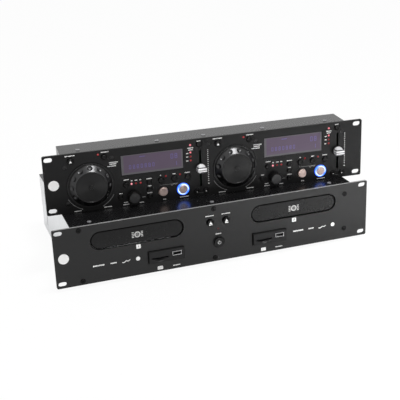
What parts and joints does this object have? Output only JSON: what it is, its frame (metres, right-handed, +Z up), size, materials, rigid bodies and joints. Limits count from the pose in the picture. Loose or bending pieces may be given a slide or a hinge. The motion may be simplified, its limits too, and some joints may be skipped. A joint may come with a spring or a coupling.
{
  "type": "dual disc player with a separate controller",
  "caption": "Rack-mount dual disc player: a player unit with sliding disc trays, card readers and power switch, and a separate controller with jog wheels, displays, faders and buttons.",
  "frame": {"origin": "centre of the player unit's front panel, on its front face, midway between its four rack slots", "axes": "+X to the right seen from the front, +Y from the front panel to the rear, +Z up"},
  "size_m": [0.4867, 0.2582, 0.1818],
  "materials": {
    "grey_panel": "fine satin anthracite paint with a brighter machined edge",
    "black_panel": "fine satin black paint",
    "black_cover": "smooth semi-gloss black paint",
    "zinc_sheet": "zinc-plated sheet, dull and faintly spangled",
    "black_screw": "black zinc",
    "foot_rubber": "matt rubber",
    "circuit_board": "green solder resist",
    "reader_plastic": "fine-grained moulded plastic",
    "switch_ring": "polished ring",
    "switch_cap": "satin",
    "socket_plastic": "moulded socket bodies",
    "loader_plastic": "grey engineering plastic",
    "tray_plastic": "fine-grained moulded plastic",
    "fascia_gloss": "polished black plastic",
    "lens_clear": "tinted lenses, and a pale ring that lights up",
    "display_glass": "tinted display window",
    "jog_plastic": "polished turned plastic with fine grooves",
    "knob_plastic": "satin with moulded grip flutes",
    "fader_silver": "silver lacquered cap on a black skirt",
    "metal_cap": "brushed metal cap",
    "button_plastic": "polished dished cap"
  },
  "bodies": {
    "drive": {"drive_front_panel": "grey_panel", "drive_chassis": "zinc_sheet", "drive_top_cover": "black_cover", "drive_feet": "foot_rubber", "drive_screws": "black_screw", "drive_boards": "circuit_board", "card_readers": "reader_plastic", "power_switch": "switch_ring", "rear_sockets": "socket_plastic", "left_loader": "loader_plastic", "right_loader": "loader_plastic"},
    "controller": {"controller_front_panel": "black_panel", "controller_case": "black_cover", "controller_screws": "black_screw", "controller_board": "circuit_board", "controller_indicators": "lens_clear", "display_modules": "display_glass"},
    "left_tray": {"left_tray": "tray_plastic", "left_tray_fascia": "fascia_gloss"},
    "left_drive_button": {"left_drive_button": "button_plastic"},
    "right_tray": {"right_tray": "tray_plastic", "right_tray_fascia": "fascia_gloss"},
    "right_drive_button": {"right_drive_button": "button_plastic"},
    "power_button": {"power_button": "switch_cap"},
    "left_open_button": {"left_open_button": "button_plastic"},
    "left_single_button": {"left_single_button": "button_plastic"},
    "left_pitch_button": {"left_pitch_button": "button_plastic"},
    "left_time_button": {"left_time_button": "button_plastic"},
    "left_upper_bank_button": {"left_upper_bank_button": "button_plastic"},
    "left_middle_bank_button": {"left_middle_bank_button": "button_plastic"},
    "left_lower_bank_button": {"left_lower_bank_button": "button_plastic"},
    "left_search_button": {"left_search_button": "button_plastic"},
    "left_bend_minus_button": {"left_bend_minus_button": "button_plastic"},
    "left_bend_plus_button": {"left_bend_plus_button": "button_plastic"},
    "left_loop_in_button": {"left_loop_in_button": "button_plastic"},
    "left_loop_out_button": {"left_loop_out_button": "button_plastic"},
    "left_reloop_button": {"left_reloop_button": "button_plastic"},
    "left_cue_button": {"left_cue_button": "metal_cap"},
    "left_play_button": {"left_play_button": "metal_cap"},
    "left_jog_wheel": {"left_jog_wheel": "jog_plastic"},
    "left_encoder_knob": {"left_encoder_knob": "knob_plastic"},
    "left_pitch_fader": {"left_pitch_fader": "fader_silver"},
    "right_open_button": {"right_open_button": "button_plastic"},
    "right_single_button": {"right_single_button": "button_plastic"},
    "right_pitch_button": {"right_pitch_button": "button_plastic"},
    "right_time_button": {"right_time_button": "button_plastic"},
    "right_upper_bank_button": {"right_upper_bank_button": "button_plastic"},
    "right_middle_bank_button": {"right_middle_bank_button": "button_plastic"},
    "right_lower_bank_button": {"right_lower_bank_button": "button_plastic"},
    "right_search_button": {"right_search_button": "button_plastic"},
    "right_bend_minus_button": {"right_bend_minus_button": "button_plastic"},
    "right_bend_plus_button": {"right_bend_plus_button": "button_plastic"},
    "right_loop_in_button": {"right_loop_in_button": "button_plastic"},
    "right_loop_out_button": {"right_loop_out_button": "button_plastic"},
    "right_reloop_button": {"right_reloop_button": "button_plastic"},
    "right_cue_button": {"right_cue_button": "metal_cap"},
    "right_play_button": {"right_play_button": "metal_cap"},
    "right_jog_wheel": {"right_jog_wheel": "jog_plastic"},
    "right_encoder_knob": {"right_encoder_knob": "knob_plastic"},
    "right_pitch_fader": {"right_pitch_fader": "fader_silver"}
  },
  "joints": [
    {"name": "controller_lift", "type": "slide", "parent": "drive", "child": "controller", "axis": [0, 0, 1], "range_m": [0, 0.12]},
    {"name": "left_tray_slide", "type": "slide", "parent": "drive", "child": "left_tray", "axis": [0, -1, 0], "range_m": [0, 0.136]},
    {"name": "left_drive_button_press", "type": "slide", "parent": "drive", "child": "left_drive_button", "axis": [0, 1, 0], "range_m": [0, 0.001], "stiffness_N_per_m": 500, "springref_m": -0.001},
    {"name": "right_tray_slide", "type": "slide", "parent": "drive", "child": "right_tray", "axis": [0, -1, 0], "range_m": [0, 0.136]},
    {"name": "right_drive_button_press", "type": "slide", "parent": "drive", "child": "right_drive_button", "axis": [0, 1, 0], "range_m": [0, 0.001], "stiffness_N_per_m": 500, "springref_m": -0.001},
    {"name": "power_button_press", "type": "slide", "parent": "drive", "child": "power_button", "axis": [0, 1, 0], "range_m": [0, 0.003], "stiffness_N_per_m": 500, "springref_m": -0.002},
    {"name": "left_open_button_press", "type": "slide", "parent": "controller", "child": "left_open_button", "axis": [0.061, 0.9981, 0], "range_m": [0, 0.001], "stiffness_N_per_m": 500, "springref_m": -0.001},
    {"name": "left_single_button_press", "type": "slide", "parent": "controller", "child": "left_single_button", "axis": [0.061, 0.9981, 0], "range_m": [0, 0.001], "stiffness_N_per_m": 500, "springref_m": -0.001},
    {"name": "left_pitch_button_press", "type": "slide", "parent": "controller", "child": "left_pitch_button", "axis": [0.061, 0.9981, 0], "range_m": [0, 0.001], "stiffness_N_per_m": 500, "springref_m": -0.001},
    {"name": "left_time_button_press", "type": "slide", "parent": "controller", "child": "left_time_button", "axis": [0.061, 0.9981, 0], "range_m": [0, 0.001], "stiffness_N_per_m": 500, "springref_m": -0.001},
    {"name": "left_upper_bank_button_press", "type": "slide", "parent": "controller", "child": "left_upper_bank_button", "axis": [0.061, 0.9981, 0], "range_m": [0, 0.001], "stiffness_N_per_m": 500, "springref_m": -0.001},
    {"name": "left_middle_bank_button_press", "type": "slide", "parent": "controller", "child": "left_middle_bank_button", "axis": [0.061, 0.9981, 0], "range_m": [0, 0.001], "stiffness_N_per_m": 500, "springref_m": -0.001},
    {"name": "left_lower_bank_button_press", "type": "slide", "parent": "controller", "child": "left_lower_bank_button", "axis": [0.061, 0.9981, 0], "range_m": [0, 0.001], "stiffness_N_per_m": 500, "springref_m": -0.001},
    {"name": "left_search_button_press", "type": "slide", "parent": "controller", "child": "left_search_button", "axis": [0.061, 0.9981, 0], "range_m": [0, 0.001], "stiffness_N_per_m": 500, "springref_m": -0.001},
    {"name": "left_bend_minus_button_press", "type": "slide", "parent": "controller", "child": "left_bend_minus_button", "axis": [0.061, 0.9981, 0], "range_m": [0, 0.001], "stiffness_N_per_m": 500, "springref_m": -0.001},
    {"name": "left_bend_plus_button_press", "type": "slide", "parent": "controller", "child": "left_bend_plus_button", "axis": [0.061, 0.9981, 0], "range_m": [0, 0.001], "stiffness_N_per_m": 500, "springref_m": -0.001},
    {"name": "left_loop_in_button_press", "type": "slide", "parent": "controller", "child": "left_loop_in_button", "axis": [0.061, 0.9981, 0], "range_m": [0, 0.001], "stiffness_N_per_m": 500, "springref_m": -0.001},
    {"name": "left_loop_out_button_press", "type": "slide", "parent": "controller", "child": "left_loop_out_button", "axis": [0.061, 0.9981, 0], "range_m": [0, 0.001], "stiffness_N_per_m": 500, "springref_m": -0.001},
    {"name": "left_reloop_button_press", "type": "slide", "parent": "controller", "child": "left_reloop_button", "axis": [0.061, 0.9981, 0], "range_m": [0, 0.001], "stiffness_N_per_m": 500, "springref_m": -0.001},
    {"name": "left_cue_button_press", "type": "slide", "parent": "controller", "child": "left_cue_button", "axis": [0.061, 0.9981, 0], "range_m": [0, 0.001], "stiffness_N_per_m": 500, "springref_m": -0.001},
    {"name": "left_play_button_press", "type": "slide", "parent": "controller", "child": "left_play_button", "axis": [0.061, 0.9981, 0], "range_m": [0, 0.001], "stiffness_N_per_m": 500, "springref_m": -0.001},
    {"name": "left_jog_spin", "type": "hinge", "parent": "controller", "child": "left_jog_wheel", "pos_m": [-0.17087, 0.05476, 0.082], "axis": [0.061, 0.9981, 0], "continuous": true},
    {"name": "left_encoder_turn", "type": "hinge", "parent": "controller", "child": "left_encoder_knob", "pos_m": [-0.11028, 0.05105, 0.0578], "axis": [0.061, 0.9981, 0], "continuous": true},
    {"name": "left_pitch_slide", "type": "slide", "parent": "controller", "child": "left_pitch_fader", "axis": [0, 0, 1], "range_m": [-0.025, 0.025]},
    {"name": "right_open_button_press", "type": "slide", "parent": "controller", "child": "right_open_button", "axis": [0.061, 0.9981, 0], "range_m": [0, 0.001], "stiffness_N_per_m": 500, "springref_m": -0.001},
    {"name": "right_single_button_press", "type": "slide", "parent": "controller", "child": "right_single_button", "axis": [0.061, 0.9981, 0], "range_m": [0, 0.001], "stiffness_N_per_m": 500, "springref_m": -0.001},
    {"name": "right_pitch_button_press", "type": "slide", "parent": "controller", "child": "right_pitch_button", "axis": [0.061, 0.9981, 0], "range_m": [0, 0.001], "stiffness_N_per_m": 500, "springref_m": -0.001},
    {"name": "right_time_button_press", "type": "slide", "parent": "controller", "child": "right_time_button", "axis": [0.061, 0.9981, 0], "range_m": [0, 0.001], "stiffness_N_per_m": 500, "springref_m": -0.001},
    {"name": "right_upper_bank_button_press", "type": "slide", "parent": "controller", "child": "right_upper_bank_button", "axis": [0.061, 0.9981, 0], "range_m": [0, 0.001], "stiffness_N_per_m": 500, "springref_m": -0.001},
    {"name": "right_middle_bank_button_press", "type": "slide", "parent": "controller", "child": "right_middle_bank_button", "axis": [0.061, 0.9981, 0], "range_m": [0, 0.001], "stiffness_N_per_m": 500, "springref_m": -0.001},
    {"name": "right_lower_bank_button_press", "type": "slide", "parent": "controller", "child": "right_lower_bank_button", "axis": [0.061, 0.9981, 0], "range_m": [0, 0.001], "stiffness_N_per_m": 500, "springref_m": -0.001},
    {"name": "right_search_button_press", "type": "slide", "parent": "controller", "child": "right_search_button", "axis": [0.061, 0.9981, 0], "range_m": [0, 0.001], "stiffness_N_per_m": 500, "springref_m": -0.001},
    {"name": "right_bend_minus_button_press", "type": "slide", "parent": "controller", "child": "right_bend_minus_button", "axis": [0.061, 0.9981, 0], "range_m": [0, 0.001], "stiffness_N_per_m": 500, "springref_m": -0.001},
    {"name": "right_bend_plus_button_press", "type": "slide", "parent": "controller", "child": "right_bend_plus_button", "axis": [0.061, 0.9981, 0], "range_m": [0, 0.001], "stiffness_N_per_m": 500, "springref_m": -0.001},
    {"name": "right_loop_in_button_press", "type": "slide", "parent": "controller", "child": "right_loop_in_button", "axis": [0.061, 0.9981, 0], "range_m": [0, 0.001], "stiffness_N_per_m": 500, "springref_m": -0.001},
    {"name": "right_loop_out_button_press", "type": "slide", "parent": "controller", "child": "right_loop_out_button", "axis": [0.061, 0.9981, 0], "range_m": [0, 0.001], "stiffness_N_per_m": 500, "springref_m": -0.001},
    {"name": "right_reloop_button_press", "type": "slide", "parent": "controller", "child": "right_reloop_button", "axis": [0.061, 0.9981, 0], "range_m": [0, 0.001], "stiffness_N_per_m": 500, "springref_m": -0.001},
    {"name": "right_cue_button_press", "type": "slide", "parent": "controller", "child": "right_cue_button", "axis": [0.061, 0.9981, 0], "range_m": [0, 0.001], "stiffness_N_per_m": 500, "springref_m": -0.001},
    {"name": "right_play_button_press", "type": "slide", "parent": "controller", "child": "right_play_button", "axis": [0.061, 0.9981, 0], "range_m": [0, 0.001], "stiffness_N_per_m": 500, "springref_m": -0.001},
    {"name": "right_jog_spin", "type": "hinge", "parent": "controller", "child": "right_jog_wheel", "pos_m": [0.04413, 0.04161, 0.082], "axis": [0.061, 0.9981, 0], "continuous": true},
    {"name": "right_encoder_turn", "type": "hinge", "parent": "controller", "child": "right_encoder_knob", "pos_m": [0.10471, 0.0379, 0.0578], "axis": [0.061, 0.9981, 0], "continuous": true},
    {"name": "right_pitch_slide", "type": "slide", "parent": "controller", "child": "right_pitch_fader", "axis": [0, 0, 1], "range_m": [-0.025, 0.025]}
  ]
}
